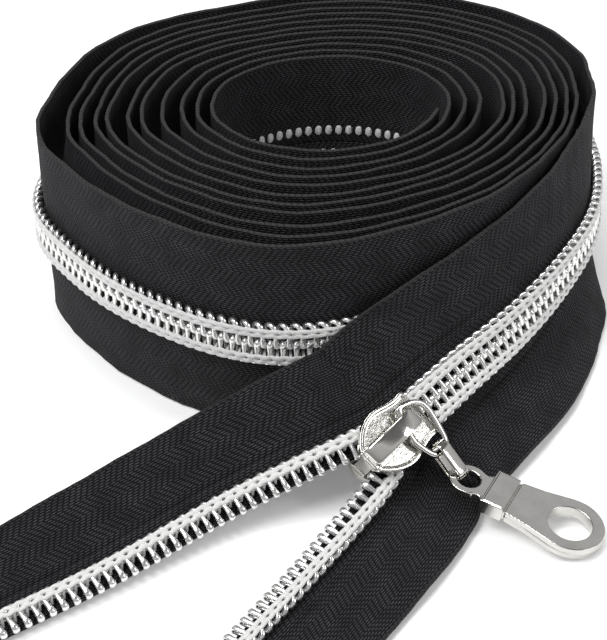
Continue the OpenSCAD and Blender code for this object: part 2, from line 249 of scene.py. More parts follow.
def floor_material():
    m, nt, b = node_material("white_table")
    f = noise(nt, object_coords(nt), 40, 3.0)
    base = ramp(nt, f, [(0.3, (0.90, 0.90, 0.90)), (0.7, (0.93, 0.93, 0.93))])
    nt.links.new(base, b.inputs["Base Color"])
    b.inputs["Roughness"].default_value = 0.75
    b.inputs["Emission Color"].default_value = (1, 1, 1, 1)
    b.inputs["Emission Strength"].default_value = 0.15
    return m


def add_mesh(name, verts, faces, mat, uvs=None, smooth=True, flat_faces=()):
    me = bpy.data.meshes.new(name)
    verts = np.asarray(verts, float)
    me.from_pydata(verts.tolist(), [], [tuple(int(i) for i in f) for f in faces])
    me.materials.append(mat)
    if uvs is not None:
        layer = me.uv_layers.new(name="weave")
        loops = np.zeros(len(me.loops), int)
        me.loops.foreach_get("vertex_index", loops)
        layer.data.foreach_set("uv", np.asarray(uvs, float)[loops].ravel())
    if smooth:
        me.polygons.foreach_set("use_smooth", [True] * len(me.polygons))
    for i in flat_faces:
        me.polygons[i].use_smooth = False
    me.update()
    o = bpy.data.objects.new(name, me)
    scene.collection.objects.link(o)
    return o


TABLE_HALF, TABLE_Z = 1.2, -0.0002
table = add_mesh("table_top", [(-TABLE_HALF, -TABLE_HALF, TABLE_Z), (TABLE_HALF, -TABLE_HALF, TABLE_Z),
                               (TABLE_HALF, TABLE_HALF * 2, TABLE_Z),
                               (-TABLE_HALF, TABLE_HALF * 2, TABLE_Z)],
                 [(0, 1, 2, 3)], floor_material(), smooth=False)


def softbox(name, at, target, wide, tall, power):
    d = bpy.data.lights.new(name, "AREA")
    d.shape = "RECTANGLE"
    d.size, d.size_y, d.energy = wide, tall, power
    o = bpy.data.objects.new(name, d)
    scene.collection.objects.link(o)
    o.location = at
    o.rotation_euler = (Vector(target) - Vector(at)).to_track_quat("-Z", "Y").to_euler()


softbox("key", (-0.28, -0.12, 0.55), (0, 0, 0.01), 0.36, 0.36, 3.0)
softbox("over", (0.52, -0.16, 0.34), (0, -0.02, 0.01), 0.1, 0.4, 1.0)
softbox("back", (0.0, 0.2, 0.85), (0, 0, 0.01), 0.5, 0.12, 2.4)
world = bpy.data.worlds.new("studio")
scene.world = world
world.use_nodes = True
wn = world.node_tree
bg = wn.nodes["Background"]
tc = wn.nodes.new("ShaderNodeTexCoord")
wsep = wn.nodes.new("ShaderNodeSeparateXYZ")
wn.links.new(tc.outputs["Generated"], wsep.inputs[0])
sky = ramp(wn, wsep.outputs[2], [
    (0.0, (0.28, 0.28, 0.28)), (0.3, (0.42, 0.42, 0.43)), (0.7, (0.66, 0.66, 0.67)),
    (0.79, (0.2, 0.2, 0.205)), (0.9, (0.16, 0.16, 0.165)), (1.0, (0.4, 0.4, 0.41))])
wn.links.new(sky, bg.inputs[0])
bg.inputs[1].default_value = 0.9
scene.view_settings.view_transform = "Standard"

# ---------------------------------------------------------------- the chain's route, as in the CAD
# A station is the chain's middle (x, y, z), the tape's lean from upright at the chain and at its
# edge (degrees), and the places across the tape between which the lean changes.
BEND_END = 9
chain_path = [[44, 12, 16], [44, 0, 16], [41.5, -13, 15.5], [35.5, -24.7, 14.2],
              [27.5, -35.3, 12.1], [18.2, -45, 9.8], [9.1, -55, 7.2]]
chain_tilt = [0, 2, 3, 8, 20, 37, 55]
edge_tilt = {1: [0, 1, 13, 13, 16, 24, 55], -1: [0, 3, 23, 38, 56, 70, 76]}
bend_start = [2.5, 2.5, 2.5, 2.5, 2.5, 3.5, 5]
open_stations = {
    1: [[13.2, -50.5, 8.4, 55, 48, 5, 9], [9.1, -55, 7.2, 55, 55, 5, 9],
        [4, -58.7, 6.9, 56, 55, 5, 9], [-2.8, -61.3, 5.1, 60, 58, 4, 9],
        [-14, -66.3, 2.2, 67, 66, 3, 9], [-30, -78, 0.8, 75, 70, 2.5, 9],
        [-50, -91.4, 0.5, 90, 87, 2.5, 9]],
    -1: [[13.2, -50.5, 8.4, 55, 76, 5, 9], [9.1, -55, 7.2, 55, 76, 5, 9],
         [6.4, -60.1, 5.1, 58, 84, 4.6, 8], [1.7, -67, 3, 74, 89, 3.5, 8],
         [-5.5, -77, 1.1, 87, 90, 2.5, 7], [-17, -94, 0.7, 89, 89, 2.5, 9],
         [-28, -115, 0.6, 90, 90, 2.5, 9]]}
AT_SLIDER, LAST = 6.0, 11.0


def ease(x):
    x = np.clip(x, 0, 1)
    return x * x * (3 - 2 * x)


def spline(q, i, u):
    """Catmull-Rom through q: the point a share u past knot i + 1."""
    a, b, c, d = q[i], q[i + 1], q[i + 2], q[i + 3]
    u = u[:, None]
    return 0.5 * (2 * b + (c - a) * u + (2 * a - 5 * b + 4 * c - d) * u * u
                  + (3 * b - a - 3 * c + d) * u ** 3)


def loop_curve(pts, steps=6):
    """A closed smooth curve through the points."""
    q = np.array(pts, float)
    n = len(q)
    u = np.linspace(0, 1, steps, endpoint=False)
    start = np.zeros(steps, int)
    return np.vstack([spline(np.array([q[i - 1], q[i], q[(i + 1) % n], q[(i + 2) % n]]), start, u)
                      for i in range(n)])


knots = {}
for side in (1, -1):
    q = np.array([p + [t, e, b, BEND_END]
                  for p, t, e, b in zip(chain_path, chain_tilt, edge_tilt[side], bend_start)], float)
    o = np.array(open_stations[side], float)
    knots[side] = (np.vstack([2 * q[0] - q[1], q, 2 * q[-1] - q[-2]]),
                   np.vstack([o, 2 * o[-1] - o[-2]]))


def station(side, t):
    """The route's station at t, counted from the roll; the halves part at AT_SLIDER."""
    t = np.clip(np.asarray(t, float), 0, LAST)
    out = np.zeros((len(t), 7))
    shut = t <= AT_SLIDER
    for mask, q, off, most in ((shut, knots[side][0], 0.0, 5), (~shut, knots[side][1], AT_SLIDER, 4)):
        if mask.any():
            i = np.minimum(np.floor(t[mask] - off).astype(int), most)
            out[mask] = spline(q, i, t[mask] - off - i)
    return out


def unit(v):
    return v / np.linalg.norm(v, axis=-1, keepdims=True)


ARC = {}
for side in (1, -1):
    ts = np.linspace(0, LAST, 4401)
    c = station(side, ts)[:, :3]
    ARC[side] = (ts, np.r_[0, np.cumsum(np.linalg.norm(np.diff(c, axis=0), axis=1))])
SHUT_LEN = float(np.interp(AT_SLIDER, *ARC[1]))
END_LEN = {side: float(ARC[side][1][-1]) for side in (1, -1)}
AHEAD = 0.9        # stations looked ahead and back for the chain's direction
SLICES = 14        # steps in which the tape's lean is summed across its width


def flat_arrays(*values):
    return np.broadcast_arrays(*[np.asarray(v, float) for v in values])


def strip(side, run, w, n):
    """Points (mm) at arc length run past the roll, w across one half, n out of the tape."""
    run, w, n = flat_arrays(run, w, n)
    t = np.interp(run, ARC[side][1], ARC[side][0])
    st = station(side, t)
    f = unit(station(side, t + AHEAD)[:, :3] - station(side, t - AHEAD)[:, :3])
    h = unit(np.cross(f, [0, 0, 1.0]))
    z = np.cross(h, f)

    def tilt(across):
        k = ease((across - st[:, 5:6]) / (st[:, 6:7] - st[:, 5:6]))
        return np.radians(st[:, 3:4] + (st[:, 4:5] - st[:, 3:4]) * k)

    a = tilt(w[:, None] * ((np.arange(SLICES) + 0.5) / SLICES))
    d = (w / SLICES)[:, None]
    reach = (np.cos(a) * d).sum(1)[:, None] * z + (np.sin(a) * d).sum(1)[:, None] * h
    e = tilt(w[:, None])
    face = np.cross(np.cos(e) * z + np.sin(e) * h, f)
    return st[:, :3] + side * reach + n[:, None] * face + SHIFT


# ---------------------------------------------------------------- the roll, one spiral of wraps
CENTRE = np.array([-1.0, -3.5])
outline = [(-44, -8), (-38, -20), (-30.5, -29.5), (-20, -38), (-11, -42.7), (-3, -44), (9, -40.6),
           (20.5, -34), (28, -27.5), (37, -14.5), (40.6, -4), (41.4, 10), (38, 21), (31, 29), (21, 35.5),
           (9, 38.5), (-2, 38.3), (-14, 35), (-26, 30.5), (-35, 23), (-40.5, 12)]


def polar_table(points, steps=12):
    """Angle about CENTRE against radius, over three turns."""
    v = loop_curve(points, steps) - CENTRE
    a, r = np.arctan2(v[:, 1], v[:, 0]), np.linalg.norm(v, axis=1)
    o = np.argsort(a)
    return np.r_[a[o] - 2 * np.pi, a[o], a[o] + 2 * np.pi], np.r_[r[o], r[o], r[o]]


OUTER = polar_table(outline)
INNER = polar_table([(1 + 17.9 * math.cos(k * math.pi / 12), -1 + 15.9 * math.sin(k * math.pi / 12))
                     for k in range(24)])
TURNS = 11
LEAVES_AT = np.array([44.0, 12.0]) - CENTRE      # where the chain leaves the roll
START_ANGLE = math.atan2(LEAVES_AT[1], LEAVES_AT[0])
# Places of the 11 wraps' top rims where they cross the right, front, left and back of the roll (mm
# from the middle of the hole). The coils pack evenly, so at their level the wraps are even.
rim_right = [18, 20, 22.5, 25, 28.9, 30.6, 32.6, 35.6, 37.4, 39.3, 40.9]
rim_front = [16.6, 19.3, 22.2, 24.6, 27.0, 30.0, 32.4, 34.6, 38.2, 40.9, 43.6]
rim_left = [16.6, 19.1, 21.6, 24.9, 28.2, 30.2, 33.6, 35.4, 37.9, 39.9, 44.6]
rim_back = [14.7, 16.9, 19.3, 21.5, 24.2, 26.2, 28.7, 31.2, 33.4, 36.1, 38.3]


def wrap_shares(*sides):
    """Each wrap's place at the roll's four sides, as a share from the first wrap to the last."""
    lists = [(np.array(v, float) - v[0]) / (v[TURNS - 1] - v[0]) for v in sides]
    return np.array([v[k] for k in range(TURNS) for v in lists] + [1.0])


even = wrap_shares(*[range(TURNS)] * 4)
lean = wrap_shares(rim_right, rim_front, rim_left, rim_back)
rng = np.random.default_rng(5)
foot = even + np.r_[rng.normal(0, 0.009, len(even) - 3), 0, 0, 0]


def share_at(g, turns):
    """The radial share at a number of turns from the inner end; the first knot is at angle 0."""
    x = np.clip(turns * 4, 0, TURNS * 4 - 1e-6)
    q = np.r_[2 * g[0] - g[1], g, 2 * g[-1] - g[-2]]
    i = np.floor(x).astype(int)
    return spline(q[:, None], i, x - i)[:, 0]


END_TURN = TURNS - START_ANGLE / (2 * math.pi)
INNER_START, OUTER_START = (np.interp(START_ANGLE, *t) for t in (INNER, OUTER))
LAST_SHARE = (np.hypot(*LEAVES_AT) - INNER_START) / (OUTER_START - INNER_START)
SWING_BEFORE, SWING_OVER = 0.34, 0.27    # turns from the end at which the last wrap swings out
PRESS, PRESS_FROM, PRESS_TO, PRESS_EASE = 0.016, 9.97, 10.32, 0.07    # pressed in under the strip


def roll_plan(turns, g):
    """Plan of the spiral, clockwise from its inner end, with the wraps at the shares g."""
    a = (-turns * 2 * math.pi + math.pi) % (2 * math.pi) - math.pi
    k = share_at(g, turns)
    k = k + (LAST_SHARE - k) * ease((turns - (END_TURN - SWING_BEFORE)) / SWING_OVER)
    k = k - PRESS * ease((turns - PRESS_FROM) / PRESS_EASE) * ease((PRESS_TO - turns) / PRESS_EASE)
    r = np.interp(a, *INNER) + (np.interp(a, *OUTER) - np.interp(a, *INNER)) * k
    return CENTRE + r[:, None] * np.stack([np.cos(a), np.sin(a)], 1)

fine_turns = np.linspace(0, END_TURN, 9001)
KERNEL = np.hanning(61)
KERNEL /= KERNEL.sum()
PAD = len(KERNEL) // 2
MEET, SETTLE = 0.03, 0.12      # turns before the outer end: unsmoothed, and rims drawing level


def smooth_line(p):
    """The plan line smoothed, except at its outer end, which meets the strip."""
    q = np.vstack([np.repeat(p[:1], PAD, 0), p, np.repeat(p[-1:], PAD, 0)])
    out = np.stack([np.convolve(q[:, i], KERNEL, "valid") for i in range(2)], 1)
    hold = ease((fine_turns - (END_TURN - MEET)) / MEET)[:, None]
    return out * (1 - hold) + p * hold


mid_line, top_line, low_line = (smooth_line(roll_plan(fine_turns, g)) for g in (even, lean, foot))
settle = ease((END_TURN - fine_turns) / SETTLE)[:, None]
top_line = mid_line + (top_line - mid_line) * settle
low_line = mid_line + (low_line - mid_line) * settle
roll_run = np.r_[0, np.cumsum(np.linalg.norm(np.diff(mid_line, axis=0), axis=1))]
ROLL_LEN = float(roll_run[-1])
roll_run = roll_run - ROLL_LEN
tangent = unit(np.gradient(mid_line, axis=0))
out_way = np.stack([-tangent[:, 1], tangent[:, 0]], 1)
print("rolled length mm", round(ROLL_LEN, 1), "closed", round(SHUT_LEN, 1), "ends", END_LEN)


def lookup(line, run):
    return np.stack([np.interp(run, roll_run, line[:, i]) for i in range(line.shape[1])], 1)


RIM_FROM = 3.5      # place across the tape from which the rims wander off the coil's own line


def rolled(side, run, w, n):
    """As strip, in the roll, where run is below zero."""
    run, w, n = flat_arrays(run, w, n)
    p = lookup(mid_line, run)
    rim = lookup(top_line if side > 0 else low_line, run)
    p = p + (rim - p) * ease((w - RIM_FROM) / (HALF - RIM_FROM))[:, None]
    xy = p + unit(lookup(out_way, run)) * n[:, None]
    return np.stack([xy[:, 0], xy[:, 1], MIDDLE + side * w], 1) + SHIFT


def chain(side, run, w, n):
    """Points of the whole chain: the roll below run 0, the strip above it."""
    run, w, n = flat_arrays(run, w, n)
    out = np.zeros((len(run), 3))
    r = run < 0
    if r.any():
        out[r] = rolled(side, run[r], w[r], n[r])
    if (~r).any():
        out[~r] = strip(side, run[~r], w[~r], n[~r])
    return out


# ---------------------------------------------------------------- generators for tape, coil and thread
def grid_faces(rows, cols, flip=False):
    """Quads between rings of cols points."""
    i, j = np.meshgrid(np.arange(rows - 1), np.arange(cols), indexing="ij")
    a, b = i * cols + j, i * cols + (j + 1) % cols
    f = np.stack([a, b, b + cols, a + cols], -1).reshape(-1, 4)
    return f[:, ::-1] if flip else f


MARGIN = 5.5                            # width of tape by the coil that follows the slider
FLAP_STEPS = (1.2, 2.4, 3.5, 4.6)       # rows of the flap, beyond the margin


def tape_piece(name, side, start, end, step, inner=0.05, outer=HALF):
    """A woven half, or its margin by the chain, or the band outside the margin; the selvage is
    rounded, and the margin carries a thin flap that slides under the band."""
    rows = max(2, int(round((end - start) / step)) + 1)
    run = np.linspace(start, end, rows)
    whole, by_coil = outer >= HALF, inner < 1
    last = HALF - 0.3 if whole else outer
    count = int(round((last - inner - 0.1) / step)) + 1
    near = [(inner, 0.12), (inner + 0.04, 0.24)] if by_coil else []
    top = [(w, HALF_THICK) for w in np.linspace(inner + 0.1 if by_coil else inner, last, count)]
    if whole:
        top.append((HALF - 0.12, HALF_THICK))
        far = [(HALF, 0.2), (HALF + 0.06, 0.0), (HALF, -0.2)]
    else:
        far = [(outer, -0.34)] + [(outer + d, -0.35) for d in FLAP_STEPS]
        far += [(outer + d, -0.44) for d in (*FLAP_STEPS[::-1], -0.02)]
    upper = near + top
    sec = np.array(upper + far + [(w, -n) for w, n in reversed(upper)])
    cols = len(sec)
    R = np.repeat(run, cols)
    W = np.tile(sec[:, 0], rows)
    N = np.tile(sec[:, 1], rows)
    wave = 0.10 * np.sin(R * 0.55 + 1.7 * side) * ease((W - 11) / 5) + 0.05 * np.sin(R * 1.9 + W * 0.7)
    v = chain(side, R, W, N + wave * ease((W - 5.6) / 2))
    f = [tuple(q) for q in grid_faces(rows, cols, flip=side > 0)]
    flat = [len(f), len(f) + 1]
    for base, turn in ((0, side < 0), ((rows - 1) * cols, side > 0)):
        q = tuple(base + j for j in range(cols))
        f.append(q[::-1] if turn else q)
    walls = ([] if whole else [len(upper) - 1]) + ([] if by_coil else [cols - 1])
    flat += [i * cols + j for i in range(rows - 1) for j in walls]
    return add_mesh(name, v * MM, f, TAPE, uvs=np.stack([R, W], 1), flat_faces=flat)


# One loop of the coil's wire: its middle along, across and out of the tape, its two half
# thicknesses, and 0 on the way to the head or 1 on the way back.
LOOP = np.array([
    (0.00, 2.90, 0.74, 0.38, 0.36, 0), (0.03, 2.2, 0.63, 0.28, 0.30, 0), (0.07, 1.2, 0.62, 0.28, 0.30, 0),
    (0.11, 0.35, 0.62, 0.34, 0.29, 0), (0.17, -0.20, 0.66, 0.44, 0.25, 0), (0.22, -0.44, 0.88, 0.49, 0.23, 0),
    (0.25, -0.50, 1.16, 0.53, 0.23, 0), (0.28, -0.44, 1.44, 0.53, 0.25, 0), (0.31, -0.18, 1.66, 0.50, 0.28, 1),
    (0.35, 0.35, 1.70, 0.43, 0.31, 1), (0.39, 1.2, 1.68, 0.35, 0.32, 1), (0.45, 2.2, 1.66, 0.31, 0.31, 1),
    (0.58, 2.84, 1.64, 0.37, 0.36, 1), (0.82, 3.14, 1.46, 0.43, 0.41, 1), (1.08, 3.24, 1.16, 0.44, 0.42, 1),
    (1.36, 3.18, 0.90, 0.43, 0.41, 1), (1.58, 3.04, 0.78, 0.40, 0.38, 1)])
LIGHT_LOOP = LOOP[[0, 2, 4, 6, 8, 10, 12, 14]]


def tube(centre, axes_a, axes_b, shift, sides):
    """Rings in flat chain space; shift turns the numbering so that neighbouring rings match."""
    th = (np.arange(sides)[None, :] + shift[:, None]) * 2 * np.pi / sides
    return (centre[:, None, :] + np.cos(th)[:, :, None] * axes_a[:, None, :]
            + np.sin(th)[:, :, None] * axes_b[:, None, :])


def capped(faces, rows, cols, flip):
    """The faces with both ends closed."""
    f = [tuple(q) for q in faces]
    a, b = tuple(range(cols)), tuple((rows - 1) * cols + j for j in range(cols))
    f.append(a if flip else a[::-1])
    f.append(b[::-1] if flip else b)
    return f


def offset_of(side):
    """The two coils mesh half a pitch apart."""
    return 0.0 if side > 0 else PITCH / 2


def loop_numbers(side, start, end):
    """The loops of a stretch; at the cut end the last loop stays on the tape."""
    offset = offset_of(side)
    if end >= END_LEN[side]:
        stop = math.floor((end - offset - 1.7) / PITCH) + 1
    else:
        stop = math.ceil((end - offset) / PITCH)
    return np.arange(math.ceil((start - offset) / PITCH), stop)


def wire_piece(name, side, start, end, fine=True):
    """The coil's wire as one tube; deep in the roll it has fewer steps."""
    ks = loop_numbers(side, start, end)
    loop, sides = (LOOP, 8) if fine else (LIGHT_LOOP, 4)
    m, rows = len(loop), len(loop) * len(ks)
    pts = np.tile(loop[:, :3], (len(ks), 1))
    pts[:, 0] += np.repeat(ks * PITCH + offset_of(side), m)
    a = np.tile(loop[:, 3], len(ks))
    b = np.tile(loop[:, 4], len(ks))
    t = unit(np.gradient(pts, axis=0))
    head = np.tile((np.abs(loop[:, 1] + 0.1) < 0.6) & (loop[:, 1] < 0.3), len(ks))
    flat = unit(np.cross(t, [0, 0, 1.0]))
    before = np.tile(loop[:, 5] == 0, len(ks))
    along = np.where(before, -1.0, 1.0)[:, None] * np.array([1.0, 0, 0])
    ref = np.where(head[:, None], along, flat)
    ref = unit(ref - (ref * t).sum(1, keepdims=True) * t)
    other = np.cross(t, ref)
    shift = (np.repeat(ks % 2, m) + np.where(before, 0, 1)) * (sides // 2)
    rings = tube(pts, ref * a[:, None], other * b[:, None], shift.astype(float), sides).reshape(-1, 3)
    v = chain(side, rings[:, 0], rings[:, 1], rings[:, 2])
    f = capped(grid_faces(rows, sides, flip=side > 0), rows, sides, side > 0)
    return add_mesh(name, v * MM, f, SILVER)


def thread_run(side, run, w, n, half_w, half_n, sides=6):
    """One thread as points, faces and weave map."""
    pts = np.stack([run, w, n], 1)
    t = unit(np.gradient(pts, axis=0))
    ref = unit(np.cross(np.broadcast_to([0, 0, 1.0], t.shape), t))
    other = np.cross(t, ref)
    hw = np.broadcast_to(np.asarray(half_w, float), run.shape)
    hn = np.broadcast_to(np.asarray(half_n, float), run.shape)
    rings = tube(pts, ref * hw[:, None], other * hn[:, None], np.zeros(len(run)), sides).reshape(-1, 3)
    v = chain(side, rings[:, 0], rings[:, 1], rings[:, 2])
    length = np.r_[0, np.cumsum(np.linalg.norm(np.diff(pts, axis=0), axis=1))]
    uv = np.stack([np.repeat(length, sides), np.tile(np.arange(sides), len(run))], 1)
    f = capped(grid_faces(len(run), sides, flip=side > 0), len(run), sides, side > 0)
    return v, f, uv


def joined(parts):
    """Points and faces of several pieces as one list each."""
    faces, n = [], 0
    for part in parts:
        faces += [tuple(i + n for i in q) for q in part[1]]
        n += len(part[0])
    return np.vstack([part[0] for part in parts]), faces


def gather(name, parts, mat):
    verts, faces = joined(parts)
    return add_mesh(name, verts * MM, faces, mat, uvs=np.vstack([part[2] for part in parts]))


STITCH_ACROSS, STITCH_OUT = 2.28, 1.97
# A tie down the coil's side, and the dash it makes on the tape's back: along, across and out.
TIE = np.array([(1.1, 2.05, 2.0), (1.14, 1.78, 1.82), (1.18, 1.55, 1.1), (1.2, 1.48, 0.22)])
DASH = np.array([(0.6, 1.45, -0.26), (0.62, 1.75, -0.40), (0.68, 2.25, -0.46),
                 (0.72, 2.75, -0.40), (0.74, 3.05, -0.26)])
DASH_HALF = np.array([0.3, 0.54, 0.6, 0.54, 0.3])


def stitch_piece(name, side, start, end, fine=True, back=True):
    """Two knitted threads over the coil's legs, a tie down the side per loop, dashes behind."""
    parts = []
    per_loop, sides = (10, 8) if fine else (4, 4)
    run = np.linspace(start, end, int(round((end - start) / PITCH * per_loop)) + 1)
    ph = 2 * np.pi * (run - offset_of(side)) / PITCH
    for way in (1, -1):
        w = STITCH_ACROSS + way * (0.37 + 0.11 * np.cos(ph - 0.5))
        n = STITCH_OUT + 0.07 * np.cos(ph + (0.4 if way > 0 else 2.2))
        parts.append(thread_run(side, run, w, n, 0.39 + 0.06 * np.cos(ph + 2.6), 0.22, sides))
    for k in loop_numbers(side, start, end):
        at = k * PITCH + offset_of(side)
        if fine:
            parts.append(thread_run(side, at + TIE[:, 0], TIE[:, 1], TIE[:, 2], 0.24, 0.2, 5))
        if back:
            parts.append(thread_run(side, at + DASH[:, 0], DASH[:, 1], DASH[:, 2], DASH_HALF, 0.18, 6))
    return gather(name, parts, THREAD)


def cord_piece(name, side, start, end):
    """The core cord, inside the coil."""
    run = np.arange(start, end, 0.6)
    w = 2.05 + 0.04 * np.sin(run * 3.1)
    return gather(name, [thread_run(side, run, w, np.full(len(run), 1.14), 0.42, 0.22, 6)], THREAD)


# ---------------------------------------------------------------- build the textile
def rides(piece, body, slot, *nodes):
    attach(piece, body)
    if nodes:
        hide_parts(*nodes)


def blends(piece, reach, slot, *nodes):
    """Baked in place, with the CAD parts it stands for hidden; reach is not used."""
    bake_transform(piece)
    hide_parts(*nodes)


def far_point(side, run):
    return tuple(strip(side, [run], [0.0], [0.0])[0] * MM)


JOIN = far_point(1, SHUT_LEN)
words = {1: ("upper", "left"), -1: ("lower", "right")}
OUTER_RUN = -235.0          # the outer wrap, whose coil and stitching are in full detail
INNER_RUN = -ROLL_LEN + 1
STILL_TO = 12.0             # the place on the closed chain, mm from the roll, where its reach starts
ROLL_STEP, STRIP_STEP = 1.9, 0.9        # steps of the tape's mesh
for side in (1, -1):
    up_name, open_name = words[side]
    zone = f"slider_zone_{open_name}"
    # (name in the piece, name in the CAD, start, end, reach, what the tape lies on)
    closed = (up_name, f"closed_{up_name}", 0.0, SHUT_LEN,
              {"start": far_point(side, STILL_TO), "end": JOIN}, f"rolled_tape_{up_name}")
    opened = (open_name, f"open_{open_name}", SHUT_LEN, END_LEN[side],
              {"start": far_point(side, END_LEN[side]), "end": JOIN}, "table_top")

    t = tape_piece(f"rolled_tape_{up_name}", side, -ROLL_LEN, 0.0, ROLL_STEP)
    rides(t, ROOT, "tape", f"roll_{up_name}_tape")
    w = wire_piece(f"rolled_coil_{up_name}", side, OUTER_RUN, 0.0)
    rides(w, ROOT, "coil", f"roll_{up_name}_coil")
    w = wire_piece(f"inner_wraps_coil_{up_name}", side, INNER_RUN, OUTER_RUN, fine=False)
    rides(w, ROOT, "coil")
    h = stitch_piece(f"rolled_stitching_{up_name}", side, OUTER_RUN, 0.0, back=False)
    rides(h, ROOT, "thread")
    h = stitch_piece(f"inner_wraps_stitching_{up_name}", side, INNER_RUN, OUTER_RUN, fine=False)
    rides(h, ROOT, "thread")

    for word, (own, node, start, end, reach, under) in (("closed", closed), ("open", opened)):
        more = [zone] if word == "open" else []
        name = f"{word}_tape_{own}"
        t = tape_piece(name, side, start, end, STRIP_STEP, inner=MARGIN)
        rides(t, ROOT, "tape", f"{node}_tape")
        t = tape_piece(name + "_margin", side, start, end, STRIP_STEP, outer=MARGIN)
        blends(t, reach, "tape", f"{zone}_tape")
        w = wire_piece(f"{word}_coil_{own}", side, start, end)
        blends(w, reach, "coil", *[f"{n}_coil" for n in [node] + more])
        h = stitch_piece(f"{word}_stitching_{own}", side, start, end)
        blends(h, reach, "thread", *[f"{n}_stitching" for n in [node] + more])
        c = cord_piece(f"{word}_core_cord_piece_{own}", side, start, end)
        blends(c, reach, "cord", *[f"{n}_core_cord" for n in [node] + more])


# ---------------------------------------------------------------- slider, ring, link and tab
def rotation(deg, axis):
    return np.array(Matrix.Rotation(math.radians(deg), 3, axis))


SLIDER_AT = np.array([9.1, -55, 7.2]) + SHIFT
SLIDER_TURN = rotation(48, "Z") @ rotation(-11.35, "Y") @ rotation(35, "X")
RING_LEAN = 8               # degrees past the slider's own
RING_TURN = SLIDER_TURN @ rotation(RING_LEAN, "X")
RING_AT = SLIDER_AT + SLIDER_TURN @ np.array([0, 0, 4.55])
RING_HOOK = RING_AT + RING_TURN @ np.array([2.1, -6.08, 0])
PULL_AT = np.array([19.3, -61.6, 4.5]) + SHIFT
pull_x = unit(np.array([0.87, -0.46, -0.178]))
pull_y = unit(np.cross([0, 0, 1.0], pull_x))
PULL_TURN = np.stack([pull_x, pull_y, np.cross(pull_x, pull_y)], 1)
EYE_TURN = math.radians(20)
EYE_RIM = 2.22              # from the eye's middle to the middle of its bar
EYE_HOOK = PULL_AT + EYE_RIM * (math.sin(EYE_TURN) * pull_y - math.cos(EYE_TURN) * pull_x)
link_x = unit(EYE_HOOK - RING_HOOK)
bars = SLIDER_TURN[:, 0] + math.cos(EYE_TURN) * pull_y + math.sin(EYE_TURN) * pull_x
link_y = unit(bars - (bars @ link_x) * link_x)
LINK_TURN = np.stack([link_x, link_y, np.cross(link_x, link_y)], 1)
LINK_REACH = float(np.linalg.norm(EYE_HOOK - RING_HOOK))


def put(v, turn, at):
    return (np.asarray(v) @ np.asarray(turn).T + at) * MM


def prism(pts, z0, z1):
    n = len(pts)
    v = [(x, y, z0) for x, y in pts] + [(x, y, z1) for x, y in pts]
    f = [(i, (i + 1) % n, n + (i + 1) % n, n + i) for i in range(n)]
    return np.array(v, float), f + [tuple(range(n))[::-1], tuple(range(n, 2 * n))]


def ring_prism(outer, inner, z0, z1):
    n = len(outer)
    v = [(x, y, z) for z in (z0, z1) for loop in (outer, inner) for x, y in loop]
    f = []
    for i in range(n):
        j = (i + 1) % n
        f += [(i, j, 2 * n + j, 2 * n + i), (n + j, n + i, 3 * n + i, 3 * n + j),
              (j, i, n + i, n + j), (2 * n + i, 2 * n + j, 3 * n + j, 3 * n + i)]
    return np.array(v, float), f


def inset(pts, d):
    p = np.asarray(pts, float)
    t = unit(np.roll(p, -1, 0) - np.roll(p, 1, 0))
    nrm = np.stack([-t[:, 1], t[:, 0]], 1)
    area = 0.5 * np.sum(p[:, 0] * np.roll(p[:, 1], -1) - np.roll(p[:, 0], -1) * p[:, 1])
    return p + nrm * d * (1 if area > 0 else -1)


def cast_piece(name, solids, voxel, rounds, mat, turn, at):
    """Overlapping solids melted into one casting with soft edges, built in mm and then placed."""
    verts, faces = joined(solids)
    raw = add_mesh(name + "_raw", verts, faces, mat, smooth=False)
    r = raw.modifiers.new("melt", "REMESH")
    r.mode = "VOXEL"
    r.voxel_size = voxel
    sm = raw.modifiers.new("soften", "SMOOTH")
    sm.factor = 0.5
    sm.iterations = rounds
    dg = bpy.context.evaluated_depsgraph_get()
    me = bpy.data.meshes.new_from_object(raw.evaluated_get(dg))
    me.name = name
    co = np.zeros(len(me.vertices) * 3)
    me.vertices.foreach_get("co", co)
    me.vertices.foreach_set("co", put(co.reshape(-1, 3), turn, at).ravel())
    me.materials.clear()
    me.materials.append(mat)
    me.polygons.foreach_set("use_smooth", [True] * len(me.polygons))
    me.update()
    o = bpy.data.objects.new(name, me)
    scene.collection.objects.link(o)
    bpy.data.objects.remove(raw)
    return o


def both_sides(half):
    return half + [(x, -y) for x, y in half[-2:0:-1]]


